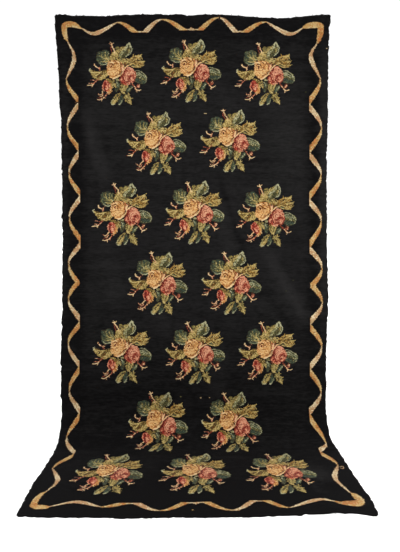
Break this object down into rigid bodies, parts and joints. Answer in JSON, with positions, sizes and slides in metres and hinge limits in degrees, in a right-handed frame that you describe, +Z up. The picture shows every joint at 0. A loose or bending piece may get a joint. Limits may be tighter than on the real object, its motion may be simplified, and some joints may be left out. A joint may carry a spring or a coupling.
{
  "type": "kilim",
  "caption": "Flat-woven black wool rug with rose bouquets and a wavy ribbon border, hung by its top end, its lower end turned out on to the floor.",
  "frame": {"origin": "the middle of the top end, in the middle of the cloth's thickness", "axes": "+Z up along the hanging cloth, -Y out of the woven face towards the viewer, +X to the viewer's right"},
  "size_m": [1.9504, 0.9337, 2.9495],
  "materials": {
    "woven_wool": "matt flat-woven wool, near black, with a fine weft rib and a faint sheen on its folds; bouquets and ribbon woven in rose, coral, peach, ochre, cream, olive and teal wool"
  },
  "bodies": {
    "root": {"kilim": "woven_wool"}
  },
  "joints": []
}
